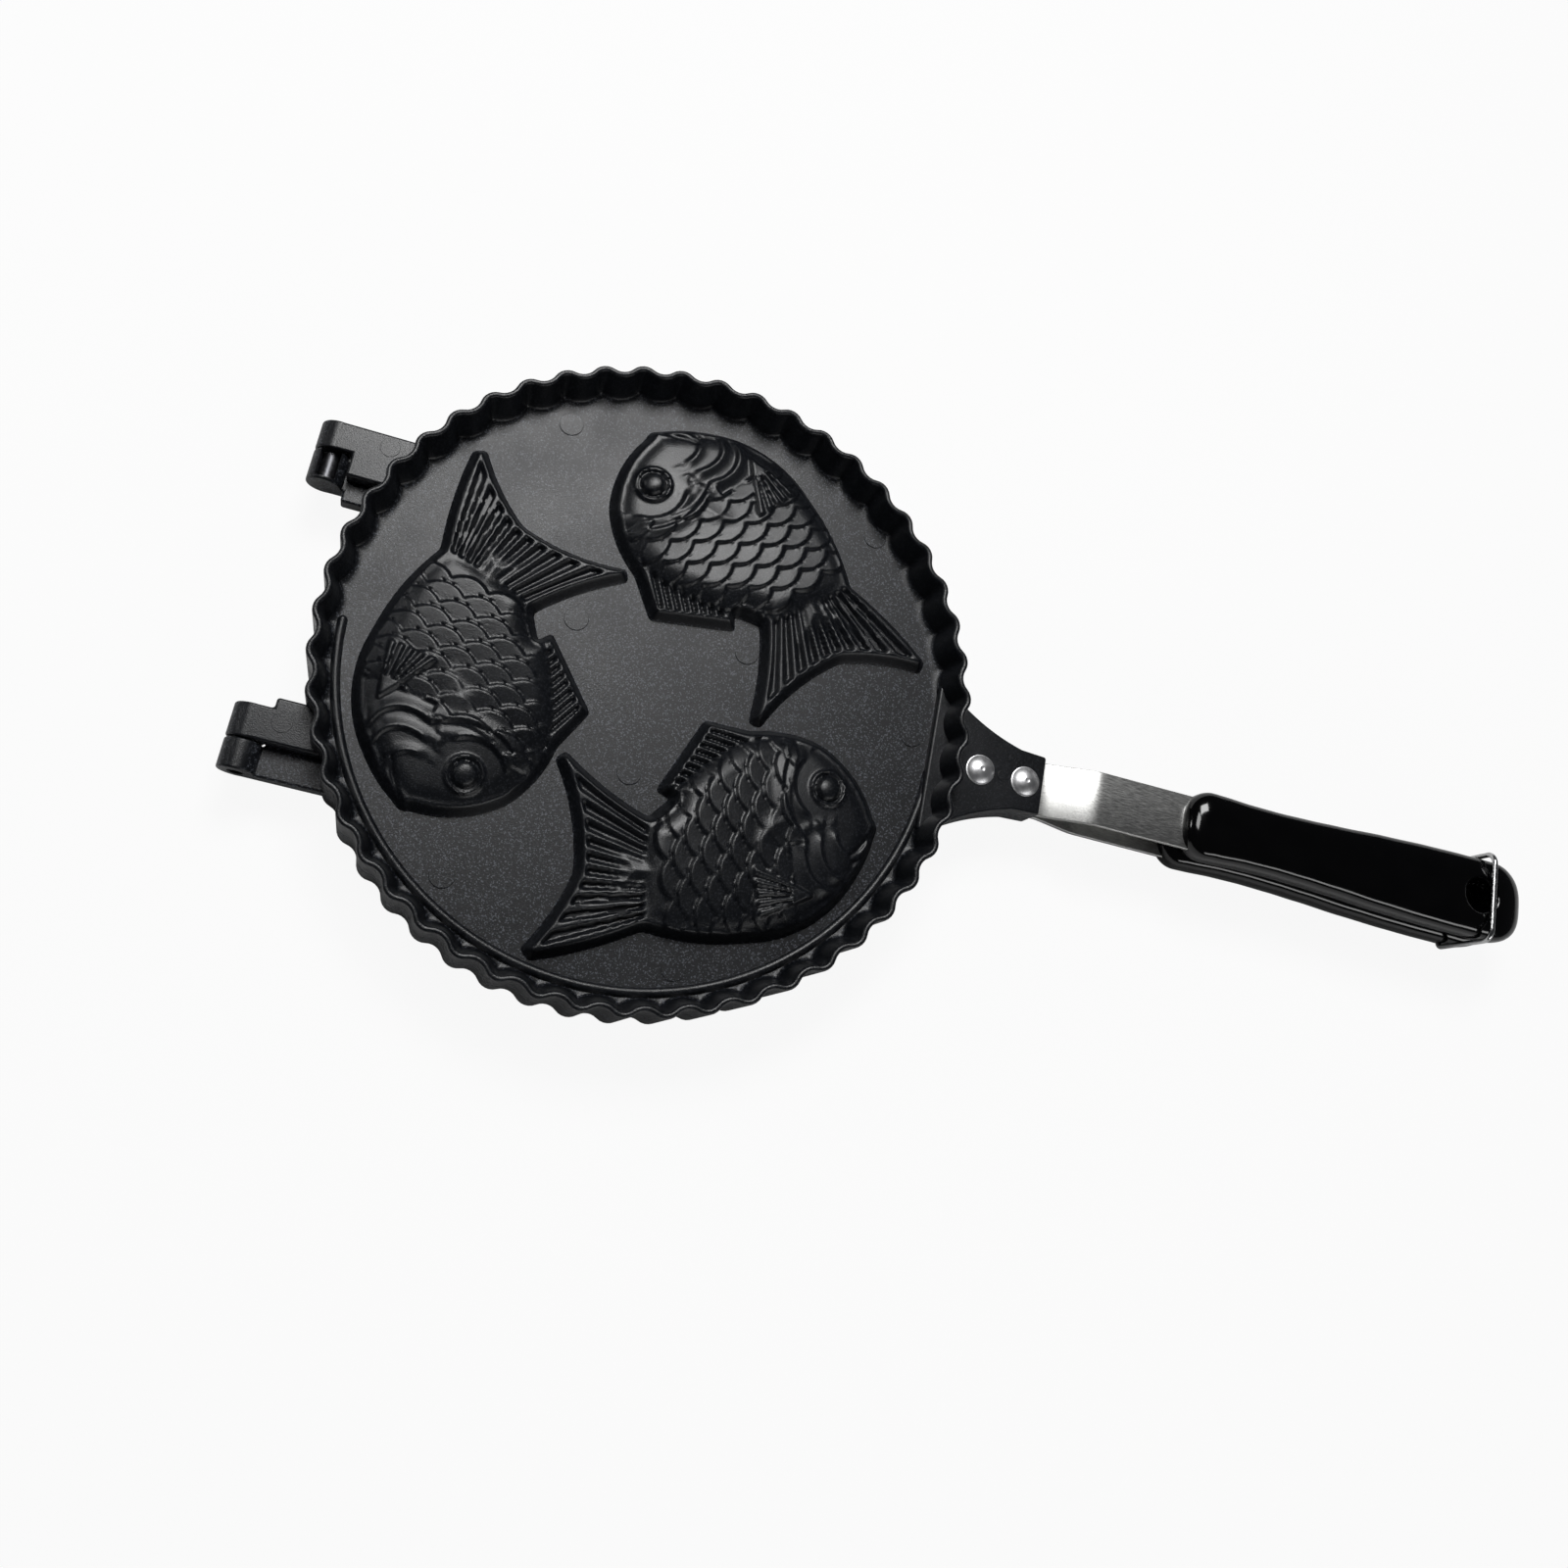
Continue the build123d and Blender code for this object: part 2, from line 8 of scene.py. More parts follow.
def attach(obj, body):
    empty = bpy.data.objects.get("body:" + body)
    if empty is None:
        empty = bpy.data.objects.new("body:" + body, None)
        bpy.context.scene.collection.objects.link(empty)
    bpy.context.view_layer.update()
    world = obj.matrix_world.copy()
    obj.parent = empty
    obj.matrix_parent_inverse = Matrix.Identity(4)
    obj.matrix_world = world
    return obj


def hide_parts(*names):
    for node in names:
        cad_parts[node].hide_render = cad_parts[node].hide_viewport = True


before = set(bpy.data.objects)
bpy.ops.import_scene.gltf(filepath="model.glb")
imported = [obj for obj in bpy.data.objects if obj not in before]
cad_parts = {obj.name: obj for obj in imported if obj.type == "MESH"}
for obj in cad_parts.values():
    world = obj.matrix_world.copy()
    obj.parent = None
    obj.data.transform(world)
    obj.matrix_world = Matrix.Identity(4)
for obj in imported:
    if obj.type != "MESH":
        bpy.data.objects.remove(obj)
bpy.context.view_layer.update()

# Shapes are drawn in millimetres in the pan's own space: its centre is at the middle of the
# rim, z is 0 where the two halves meet, and x runs towards the handles.
panCentre = Vector((-0.10035, 0, 0.0164))
upperPlace = Matrix.Translation(panCentre) @ Matrix.Scale(0.001, 4)
mirrorPlace = upperPlace @ Matrix.Scale(-1, 4, (0, 0, 1))   # the lower half faces the upper one
turnPlace = upperPlace @ Matrix.Rotation(pi, 4, "X")        # its hinge lugs are turned over instead


# small helpers

def ease(t):
    t = min(max(t, 0.0), 1.0)
    return t * t * (3 - 2 * t)


def softMin(a, b, blend):
    near = max(blend - abs(a - b), 0.0) / blend
    return min(a, b) - near * near * blend / 4


def softMax(a, b, blend):
    return -softMin(-a, -b, blend)


def shortTurn(turn):
    return (turn + pi) % (2 * pi) - pi


def arcPoints(start, middle, end, steps):     # along the arc through three points, without its end
    (ax, ay), (bx, by), (cx, cy) = start, middle, end
    aa, bb, cc = ax * ax + ay * ay, bx * bx + by * by, cx * cx + cy * cy
    twice = 2 * (ax * (by - cy) + bx * (cy - ay) + cx * (ay - by))
    x = (aa * (by - cy) + bb * (cy - ay) + cc * (ay - by)) / twice
    y = (aa * (cx - bx) + bb * (ax - cx) + cc * (bx - ax)) / twice
    radius = hypot(ax - x, ay - y)
    first = atan2(ay - y, ax - x)
    sweep = shortTurn(atan2(by - y, bx - x) - first)
    sweep += shortTurn(atan2(cy - y, cx - x) - first - sweep)
    turns = [first + sweep * k / steps for k in range(steps)]
    return [(x + radius * cos(turn), y + radius * sin(turn)) for turn in turns]


def meshPiece(name, bm, place=Matrix.Identity(4), flip=False):
    bmesh.ops.transform(bm, matrix=place, verts=bm.verts)
    if flip:
        bmesh.ops.reverse_faces(bm, faces=bm.faces)
    mesh = bpy.data.meshes.new(name)
    bm.to_mesh(mesh)
    bm.free()
    piece = bpy.data.objects.new(name, mesh)
    bpy.context.scene.collection.objects.link(piece)
    return piece


def finishPiece(piece, material, body, nodes=(), sharp=50):
    piece.data.materials.clear()
    piece.data.materials.append(material)
    piece.data.shade_smooth()
    piece.data.set_sharp_from_angle(angle=radians(sharp))
    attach(piece, body)
    if nodes:
        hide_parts(*nodes)
    return piece


def evenNormals(piece):
    evened = piece.modifiers.new("evened", "WEIGHTED_NORMAL")
    evened.keep_sharp = True


def combine(piece, others, operation):
    for other in others:
        step = piece.modifiers.new(other.name, "BOOLEAN")
        step.operation = operation
        step.solver = "MANIFOLD"
        step.object = other
    graph = bpy.context.evaluated_depsgraph_get()
    mesh = bpy.data.meshes.new_from_object(piece.evaluated_get(graph))
    piece.modifiers.clear()
    piece.data = mesh
    return piece


def discard(*pieces):
    for piece in pieces:
        bpy.data.objects.remove(piece)


def roundEdges(bm, width):
    edges = [e for e in bm.edges if e.calc_face_angle(0) > 0.6]
    bmesh.ops.bevel(bm, geom=edges, offset=width, segments=3, affect="EDGES",
                    profile=0.5, material=-1, clamp_overlap=True)


def prism(outline, low, high, rounding=0.0):
    bm = bmesh.new()
    face = bm.faces.new([bm.verts.new((x, y, low)) for x, y in outline])
    raised = bmesh.ops.extrude_face_region(bm, geom=[face])
    tops = [v for v in raised["geom"] if isinstance(v, bmesh.types.BMVert)]
    bmesh.ops.translate(bm, verts=tops, vec=(0, 0, high - low))
    bmesh.ops.recalc_face_normals(bm, faces=bm.faces)
    if rounding:
        roundEdges(bm, rounding)
    return bm


def barrel(radius, low, high, place, rounding=0.0, segments=64):
    bm = bmesh.new()
    bmesh.ops.create_cone(bm, cap_ends=True, segments=segments, radius1=radius, radius2=radius,
                          depth=high - low)
    bmesh.ops.translate(bm, verts=bm.verts, vec=(0, 0, (low + high) / 2))
    if rounding:
        roundEdges(bm, rounding)
    bmesh.ops.transform(bm, matrix=place, verts=bm.verts)
    return bm


def lathe(profile, steps):
    bm = bmesh.new()
    points = [bm.verts.new((r, 0, z)) for r, z in profile]
    for a, b in zip(points[:-1], points[1:]):
        bm.edges.new((a, b))
    bmesh.ops.spin(bm, geom=bm.verts[:] + bm.edges[:], cent=(0, 0, 0), axis=(0, 0, 1),
                   angle=2 * pi, steps=steps, use_merge=True)
    bmesh.ops.remove_doubles(bm, verts=bm.verts, dist=0.001)
    bmesh.ops.recalc_face_normals(bm, faces=bm.faces)
    return bm


# materials

def newMaterial(name):
    material = bpy.data.materials.new(name)
    material.use_nodes = True
    tree = material.node_tree
    shader = tree.nodes["Principled BSDF"]
    where = tree.nodes.new("ShaderNodeTexCoord").outputs["Object"]
    return material, tree, shader, where


def addNode(tree, kind, settings=None, **links):
    node = tree.nodes.new("ShaderNode" + kind)
    for key, value in (settings or {}).items():
        if key in node.inputs:
            node.inputs[key].default_value = value
        else:
            setattr(node, key, value)
    for key, source in links.items():
        tree.links.new(source, node.inputs[key.replace("_", " ")])
    return node


def rampNode(tree, source, *stops):
    node = addNode(tree, "ValToRGB", None, Fac=source)
    elements = node.color_ramp.elements
    while len(elements) < len(stops):
        elements.new(0.5)
    for element, (position, colour) in zip(elements, stops):
        element.position = position
        element.color = (*colour, 1) if isinstance(colour, tuple) else (colour, colour, colour, 1)
    return node.outputs["Color"]


def noiseRange(tree, source, low, high):
    spread = {"From Min": 0.3, "From Max": 0.7, "To Min": low, "To Max": high}
    return addNode(tree, "MapRange", spread, Value=source).outputs["Result"]


def bumpNode(tree, shader, source, strength, distance):
    bump = addNode(tree, "Bump", {"Strength": strength, "Distance": distance}, Height=source)
    tree.links.new(bump.outputs["Normal"], shader.inputs["Normal"])


# the coat is grainy where the casting is flat and smoother on the raised fish; fewer bright flecks there
# paint the raised fish darker than the floor, a painted shade
castLook = {"base": (0.0034, 0.0042, 0.0058), "light": (0.0056, 0.0066, 0.0088),
            "fleck": (0.085, 0.092, 0.108), "fleckSize": 2800, "fleckShare": 0.82,
            "flat": (0.36, 0.44), "raised": (0.30, 0.37), "grain": 2400, "calm": 0.18,
            "middle": 0.0164, "floor": 0.0041, "above": 0.0052}


def castMaterial():
    material, tree, shader, where = newMaterial("satinBlackCoat")
    patches = addNode(tree, "TexNoise", {"Scale": 40.0, "Detail": 3.0}, Vector=where)
    cells = addNode(tree, "TexVoronoi", {"Scale": castLook["fleckSize"]}, Vector=where)
    pick = addNode(tree, "SeparateColor", None, Color=cells.outputs["Color"])
    place = addNode(tree, "SeparateXYZ", None, Vector=where)
    offset = addNode(tree, "Math", {"operation": "SUBTRACT"})
    tree.links.new(place.outputs["Z"], offset.inputs[0])
    offset.inputs[1].default_value = castLook["middle"]
    away = addNode(tree, "Math", {"operation": "ABSOLUTE"})
    tree.links.new(offset.outputs[0], away.inputs[0])
    levels = {"From Min": castLook["floor"], "From Max": castLook["above"]}
    raised = addNode(tree, "MapRange", levels, Value=away.outputs[0])
    base = rampNode(tree, patches.outputs["Fac"], (0.35, castLook["base"]), (0.7, castLook["light"]))
    share = castLook["fleckShare"]
    flecks = rampNode(tree, pick.outputs["Red"], (share, 0.0), (min(share + 0.06, 1.0), 1.0))
    # fewer bright flecks on the raised fish: painted shade that darkens the fish against the flat floor
    fishShadeCalming = {"To Min": 1.0, "To Max": castLook["calm"]}
    calm = addNode(tree, "MapRange", fishShadeCalming, Value=raised.outputs["Result"])
    fleckAmountWithFishShade = addNode(tree, "Math", {"operation": "MULTIPLY"})
    tree.links.new(flecks, fleckAmountWithFishShade.inputs[0])
    tree.links.new(calm.outputs["Result"], fleckAmountWithFishShade.inputs[1])
    mix = addNode(tree, "Mix", {"data_type": "RGBA"})
    tree.links.new(fleckAmountWithFishShade.outputs[0], mix.inputs["Factor"])
    tree.links.new(base, mix.inputs[6])
    mix.inputs[7].default_value = (*castLook["fleck"], 1)
    tree.links.new(mix.outputs[2], shader.inputs["Base Color"])
    grain = addNode(tree, "TexNoise", {"Scale": castLook["grain"], "Detail": 2.0}, Vector=where)
    blend = addNode(tree, "MapRange", None, Value=raised.outputs["Result"])
    for end, look in (("To Min", "flat"), ("To Max", "raised")):
        rough = noiseRange(tree, patches.outputs["Fac"], *castLook[look])
        tree.links.new(rough, blend.inputs[end])
    tree.links.new(blend.outputs["Result"], shader.inputs["Roughness"])
    bumpNode(tree, shader, grain.outputs["Fac"], 0.6, 0.00012)
    return material


gripLook = {"dark": (0.0008, 0.0008, 0.001), "light": (0.0016, 0.0016, 0.0018),
            "roughness": (0.07, 0.13), "waves": 90.0}


def gripMaterial():
    material, tree, shader, where = newMaterial("glossBlackMoulding")
    waves = addNode(tree, "TexNoise", {"Scale": gripLook["waves"], "Detail": 2.0}, Vector=where)
    colour = rampNode(tree, waves.outputs["Fac"], (0.3, gripLook["dark"]), (0.75, gripLook["light"]))
    tree.links.new(colour, shader.inputs["Base Color"])
    rough = noiseRange(tree, waves.outputs["Fac"], *gripLook["roughness"])
    tree.links.new(rough, shader.inputs["Roughness"])
    bumpNode(tree, shader, waves.outputs["Fac"], 0.12, 0.0003)
    return material


def metalMaterial(name, dark, bright, roughness, stretch, size):
    material, tree, shader, where = newMaterial(name)
    shader.inputs["Metallic"].default_value = 1.0
    mapped = addNode(tree, "Mapping", {"Scale": stretch}, Vector=where)
    streaks = addNode(tree, "TexNoise", {"Scale": size, "Detail": 4.0},
                      Vector=mapped.outputs["Vector"])
    colour = rampNode(tree, streaks.outputs["Fac"], (0.3, dark), (0.7, bright))
    tree.links.new(colour, shader.inputs["Base Color"])
    rough = noiseRange(tree, streaks.outputs["Fac"], *roughness)
    tree.links.new(rough, shader.inputs["Roughness"])
    bumpNode(tree, shader, streaks.outputs["Fac"], 0.15, 0.00005)
    return material


castCoat = castMaterial()
gripGloss = gripMaterial()
strapSteel = metalMaterial("brushedStrap", (0.46, 0.46, 0.45), (0.68, 0.68, 0.66),
                           (0.30, 0.42), (1, 10, 10), 380.0)
rivetMetal = metalMaterial("brightRivet", (0.86, 0.86, 0.87), (0.94, 0.94, 0.95),
                           (0.36, 0.46), (1, 1, 1), 500.0)
wireMetal = metalMaterial("drawnWire", (0.55, 0.55, 0.55), (0.74, 0.74, 0.74),
                          (0.16, 0.26), (1, 1, 1), 1500.0)
pinMetal = metalMaterial("darkPin", (0.10, 0.10, 0.11), (0.18, 0.18, 0.19),
                         (0.35, 0.5), (1, 1, 1), 900.0)
print("materials ready")


# fluted pan: rings from the meeting face up the outside, over the edge and down to the floor

pan = {"crest": 106.0, "depth": 2.3, "flutes": 50, "steps": 12,
       # how far in from the crests, and height over the meeting face
       "rings": ((0.9, 0.1), (0.35, 0.18), (0.08, 0.4), (0.0, 0.8), (0.0, 5.0), (0.0, 10.5),
                 (0.0, 15.3), (0.05, 15.8), (0.22, 16.15), (0.52, 16.35), (0.9, 16.4),
                 (1.3, 16.36), (1.66, 16.18), (1.9, 15.85), (2.05, 15.4), (2.9, 12.0),
                 (3.7, 8.2), (4.3, 5.5), (4.5, 4.7)),
       # past the wall's foot the rings turn from flutes to circles, share by share
       "foot": 4.5, "fillet": ((0.25, 4.3), (0.5, 4.05), (0.8, 3.93)),
       "floor": 3.9, "floorEdge": 97.0, "floorSteps": (1.0, 0.85, 0.65, 0.4, 0.15)}
flutesTotal = pan["flutes"] * pan["steps"]
halfFlute = pi / pan["flutes"]


def fluteArc():
    low, high = 0.1, pan["crest"] / 4
    for _ in range(60):
        r = (low + high) / 2
        reach = pan["crest"] - pan["depth"] + r
        gap = hypot(reach * cos(halfFlute) - pan["crest"] + r, reach * sin(halfFlute))
        low, high = (r, high) if gap > 2 * r else (low, r)
    return r


arcRadius = fluteArc()
crestCentre = pan["crest"] - arcRadius
valleyCentre = pan["crest"] - pan["depth"] + arcRadius
joinTurn = atan2(valleyCentre * sin(halfFlute), valleyCentre * cos(halfFlute) - crestCentre)


def flutePoint(index, inset):
    number, part = divmod(index % flutesTotal, pan["steps"])
    share = part / pan["steps"]
    side = 1 if share > 0.5 else -1
    along = abs(share - 0.5) * 2
    if along < 0.5:
        turn = joinTurn * along / 0.5
        x = crestCentre + (arcRadius - inset) * cos(turn)
        y = (arcRadius - inset) * sin(turn)
    else:
        turn = joinTurn + (halfFlute - joinTurn) * (along - 0.5) / 0.5
        x = valleyCentre * cos(halfFlute) - (arcRadius + inset) * cos(turn)
        y = valleyCentre * sin(halfFlute) - (arcRadius + inset) * sin(turn)
    facing = (2 * number + 1) * halfFlute
    y *= side
    return x * cos(facing) - y * sin(facing), x * sin(facing) + y * cos(facing)


def panBody():
    bm = bmesh.new()
    rings = [(inset, height, 0.0, 1.0) for inset, height in pan["rings"]]
    rings += [(pan["foot"], height, share, 1.0) for share, height in pan["fillet"]]
    rings += [(pan["foot"], pan["floor"], 1.0, part) for part in pan["floorSteps"]]
    rings = [(*pan["rings"][0], 1.0, part) for part in reversed(pan["floorSteps"])] + rings
    bmesh.ops.create_grid(bm, x_segments=flutesTotal, y_segments=len(rings) - 1, size=1)
    for v in bm.verts:
        index = round((v.co.x + 1) / 2 * flutesTotal)
        inset, height, share, part = rings[round((v.co.y + 1) / 2 * (len(rings) - 1))]
        x, y = flutePoint(index, inset)
        circle = pan["floorEdge"] / hypot(x, y)      # the floor runs out from a circle
        scale = (1 - share + share * circle) * part
        v.co = (x * scale, y * scale, height)
    bmesh.ops.remove_doubles(bm, verts=bm.verts, dist=0.001)
    bmesh.ops.holes_fill(bm, edges=[e for e in bm.edges if e.is_boundary], sides=0)
    bmesh.ops.recalc_face_normals(bm, faces=bm.faces)
    return bm


# fish: the outline where the outside meets the floor, and the body without fin and tail

fish = {"place": (31.394, -44.599), "turn": 19.49, "finHeight": 4.6, "crown": 8.4, "curve": 400.0,
        "pitch": 0.57, "mouldPitch": 1.05, "mouldInset": 1.7, "mouldFin": 5.3, "mouldCrown": 9.1}
fishArcs = (
    ((53.6, 1.6), (50.3, 14.0), (40.0, 27.5)), ((40.0, 27.5), (30.0, 32.3), (17.0, 34.2)),
    ((17.0, 34.2), (2.2, 39.2)), ((2.2, 39.2), (-16.6, 17.9)), ((-16.6, 17.9), (-12.3, 14.8)),
    ((-12.3, 14.8), (-20.0, 9.6)), ((-20.0, 9.6), (-31.5, 19.2), (-43.5, 33.0)),
    ((-43.5, 33.0), (-47.2, 31.0)), ((-47.2, 31.0), (-44.0, 8.0), (-45.4, -5.0)),
    ((-45.4, -5.0), (-53.4, -16.2), (-64.0, -26.2)), ((-64.0, -26.2), (-62.0, -30.2)),
    ((-62.0, -30.2), (-43.0, -28.7), (-26.5, -25.2)), ((-26.5, -25.2), (-10.0, -30.8), (6.0, -32.6)),
    ((6.0, -32.6), (30.0, -28.5), (44.0, -17.5)), ((44.0, -17.5), (49.7, -10.2), (53.4, -3.2)),
    ((53.4, -3.2), (54.6, -0.8), (53.6, 1.6)))
bodyArcs = (
    ((53.6, 1.6), (50.3, 14.0), (40.0, 27.5)), ((40.0, 27.5), (25.0, 33.2), (8.0, 31.4)),
    ((8.0, 31.4), (-8.0, 22.5), (-23.0, 11.5)), ((-23.0, 11.5), (-27.6, -8.0), (-29.5, -27.5)),
    ((-29.5, -27.5), (-10.0, -31.6), (6.0, -32.6)), ((6.0, -32.6), (30.0, -28.5), (44.0, -17.5)),
    ((44.0, -17.5), (49.7, -10.2), (53.4, -3.2)), ((53.4, -3.2), (54.6, -0.8), (53.6, 1.6)))


def runLength(*points):
    return sum(hypot(bx - ax, by - ay) for (ax, ay), (bx, by) in zip(points[:-1], points[1:]))


def evenOutline(arcs, spacing=0.25, passes=30):
    points = []
    for arc in arcs:
        steps = round(runLength(*arc) / spacing)
        if len(arc) == 2:
            (ax, ay), (bx, by) = arc
            points += [(ax + (bx - ax) * k / steps, ay + (by - ay) * k / steps) for k in range(steps)]
        else:
            points += arcPoints(*arc, steps)
    for _ in range(passes):       # rounds the corners a little
        loop = [points[-1], *points, points[0]]
        points = [((ax + 2 * bx + cx) / 4, (ay + 2 * by + cy) / 4)
                  for (ax, ay), (bx, by), (cx, cy) in zip(loop[:-2], loop[1:-1], loop[2:])]
    return points


def depthInside(points):
    count = len(points)
    tree = kdtree.KDTree(count)
    normals = []
    area = sum(points[k - 1][0] * points[k][1] - points[k][0] * points[k - 1][1] for k in range(count))
    hand = 1 if area > 0 else -1
    for k, (x, y) in enumerate(points):
        tree.insert((x, y, 0), k)
        dx = points[(k + 1) % count][0] - points[k - 1][0]
        dy = points[(k + 1) % count][1] - points[k - 1][1]
        length = hypot(dx, dy)
        normals.append((hand * dy / length, -hand * dx / length))
    tree.balance()

    def depth(x, y):
        near, k, distance = tree.find((x, y, 0))
        across = (x - near.x) * normals[k][0] + (y - near.y) * normals[k][1]
        if abs(distance) < 1.0:
            return -across
        return distance if across < 0 else -distance
    return depth


fishDepth = depthInside(evenOutline(fishArcs))
bodyDepth = depthInside(evenOutline(bodyArcs))

# relief: all heights in millimetres above the smooth fish
scales = {"first": -20.5, "pitch": 4.55, "tall": 12.4, "radius": 8.2, "height": 1.3}
eye = {"place": (38.0, 12.2), "ring": 5.8, "pupil": 3.7}
fin = {"tip": (27.8, -21.3), "rear": 9.2, "high": 147.0, "low": 196.0, "rays": 5, "height": 1.5}
dorsal = {"across": (0.42, 0.907), "pitch": 2.75, "depth": 1.35}
tail = {"from": (3.8, -17.6), "pitch": 5.3, "depth": 1.7}
strokes = (   # points, height, width of the fall behind the step
    (((33.5, 24.0), (28.5, 20.0), (26.3, 13.5), (27.5, 7.5), (31.0, 3.5)), 0.95, 3.2),
    (((27.5, 25.5), (23.6, 19.0), (22.3, 12.0), (23.6, 4.0), (27.0, -3.0)), 0.8, 2.6),
    (((28.8, -2.5), (26.6, -8.0), (27.4, -14.5), (31.5, -19.3), (38.0, -20.3)), 1.0, 3.0),
    (((34.2, -1.0), (32.4, -7.0), (33.4, -12.8), (36.6, -16.0), (41.8, -17.0)), 0.95, 2.6),
    (((38.8, -0.5), (38.3, -4.5), (39.6, -8.0), (42.6, -9.8)), 0.8, 2.2))
mouth = (((42.2, -9.8), (46.5, -7.4), (52.0, -2.6)), ((42.8, -12.2), (46.0, -11.4), (49.5, -8.6)))


def strokeOffset(points, x, y):     # distance from the stroke, positive on its left
    best = 1e9
    for (ax, ay), (bx, by) in zip(points[:-1], points[1:]):
        dx, dy = bx - ax, by - ay
        share = min(max(((x - ax) * dx + (y - ay) * dy) / (dx * dx + dy * dy), 0.0), 1.0)
        gap = hypot(x - ax - dx * share, y - ay - dy * share)
        if gap < abs(best):
            best = gap if dx * (y - ay) - dy * (x - ax) > 0 else -gap
    return best


def roundStroke(points):
    smooth = list(points)
    for _ in range(2):
        cut = [smooth[0]]
        for (ax, ay), (bx, by) in zip(smooth[:-1], smooth[1:]):
            cut += [(ax + (bx - ax) * share, ay + (by - ay) * share) for share in (0.25, 0.75)]
        smooth = cut + [smooth[-1]]
    return smooth


strokes = tuple((roundStroke(points), height, width) for points, height, width in strokes)
mouth = tuple(roundStroke(points) for points in mouth)


def scaleRelief(x, y):
    height = 0.0
    column = int((x - scales["first"]) / scales["pitch"]) + 1
    for j in range(column, column - 4, -1):
        if j < 0:
            break
        shift = scales["tall"] / 2 if j % 2 else 0.0
        off = (y - 1.0 + shift) / scales["tall"]
        off = (off - round(off)) * scales["tall"]
        bow = scales["radius"] - sqrt(scales["radius"]**2 - off * off)
        edge = scales["first"] + j * scales["pitch"] + bow
        if x > edge:
            back = x - edge
            dome = 1 - 0.3 * (2 * off / scales["tall"])**2
            return scales["height"] * ease(back / 0.9) * (1 - 0.88 * min(back / 6.5, 1.0)) * dome
    return height


def relief(x, y, edge, body):
    bodyShare = ease((body - 2.2) / 1.6)
    height = 0.0
    # scales, left of the gills and clear of the back
    if bodyShare > 0 and x < 30:
        gillLine = 25.2 + 0.022 * (y - 8)**2 if y > -4 else 22.5
        share = bodyShare * ease((gillLine - x) / 1.2) * ease((x + 27) / 1.0)
        height += share * scaleRelief(x, y)
    # side fin over the scales
    tx, ty = fin["tip"]
    dx, dy = x - tx, y - ty
    turn = atan2(dy, dx) * 180 / pi % 360
    away = hypot(dx, dy)
    inside = radians(min(turn - fin["high"], fin["low"] - turn)) * max(away, 2.0)
    gap = min(inside, x - fin["rear"])
    if gap > -0.4 and away < 24:
        share = ease((gap + 0.4) / 0.8)
        along = (turn - fin["high"]) / (fin["low"] - fin["high"])
        wave = 0.5 - 0.5 * cos(2 * pi * along * fin["rays"])
        ray = 0.9 * ease((wave - 0.15) / 0.5) - 0.6
        height = height * (1 - share) + share * (fin["height"] + ray * ease((away - 5.0) / 3.0))
    if x > 16:
        for points, rise, fall in strokes:
            inner = -strokeOffset(points, x, y)
            if -0.5 < inner < 9:
                ends = min(runLength(points[0], (x, y)), runLength(points[-1], (x, y)))
                fold = ease((inner + 0.5) / 0.9) * exp(-(max(inner, 0.0) / fall)**2)
                height += 1.35 * rise * fold * ease(ends / 4.0)
        for points in mouth:
            off = abs(strokeOffset(points, x, y))
            if off < 2.0:
                height -= 1.0 * exp(-(off / 0.6)**2)
        # eye: flat ring, groove and round pupil
        ex, ey = eye["place"]
        away = hypot(x - ex, y - ey)
        if away < 9:
            calm = ease((8.0 - away) / 1.5)
            height *= 1 - calm
            height += 0.7 * ease((eye["ring"] + 0.35 - away) / 0.5)
            height += 0.5 * exp(-((away - eye["ring"]) / 0.55)**2)
            height -= 0.7 * exp(-((away - 4.4) / 0.55)**2)
            if away < eye["pupil"] + 0.3:
                height += 1.7 * sqrt(max(1 - (away / (eye["pupil"] + 0.3))**2, 0.0))
    # ribs of the back fin, and rays of the tail
    flat = ease((edge - 2.9) / 0.7) * (1 - bodyShare)
    if flat > 0:
        if x > -19:
            band = (x * dorsal["across"][0] + y * dorsal["across"][1]) / dorsal["pitch"]
            wave = 0.5 + 0.5 * cos(2 * pi * band)
            if y > 10:
                height -= flat * dorsal["depth"] * ease((wave - 0.45) / 0.35)
        if x < -19:
            fx, fy = tail["from"]
            turn = atan2(y - fy, x - fx) * 180 / pi % 360
            wave = 0.5 + 0.5 * cos(2 * pi * (turn - 133.4) / tail["pitch"])
            height -= flat * ease((edge - 3.3) / 0.8) * tail["depth"] * ease((wave - 0.3) / 0.4)
    return height


def wallRise(depth):
    return softMin(depth * 2.475, 2.6 + (depth - 1.05) * 0.78, 0.9)


def outsideHeight(x, y, edge, body):
    crown = fish["crown"] - ((x - 14)**2 * (0.72 if x < 14 else 1.0) + y * y) / fish["curve"]
    top = softMin(softMin(wallRise(edge), wallRise(body), 0.5), crown, 2.2)
    rim = softMin(edge * 1.9, fish["finHeight"], 1.1)
    height = softMax(top, rim, 0.35)
    if edge > 1.5:
        height += relief(x, y, edge, body) * ease(edge - 1.5)
    return softMax(height, edge * 0.3 - 0.12, 0.9)


def mouldHeight(x, y, edge, body):
    edge -= fish["mouldInset"]
    body -= fish["mouldInset"]
    crown = fish["mouldCrown"] - ((x - 14)**2 * (0.72 if x < 14 else 1.0) + y * y) / fish["curve"]
    top = softMin(softMin(edge * 2.05, body * 2.05, 0.5), crown, 2.2)
    rim = softMin(edge * 4.0, fish["mouldFin"], 1.0)
    height = softMax(top, rim, 0.35)
    if edge > 0.6:
        raised = relief(x, y, edge + fish["mouldInset"], body + fish["mouldInset"])
        height += 0.75 * raised * ease(edge - 0.6)
    return max(height, -0.6)


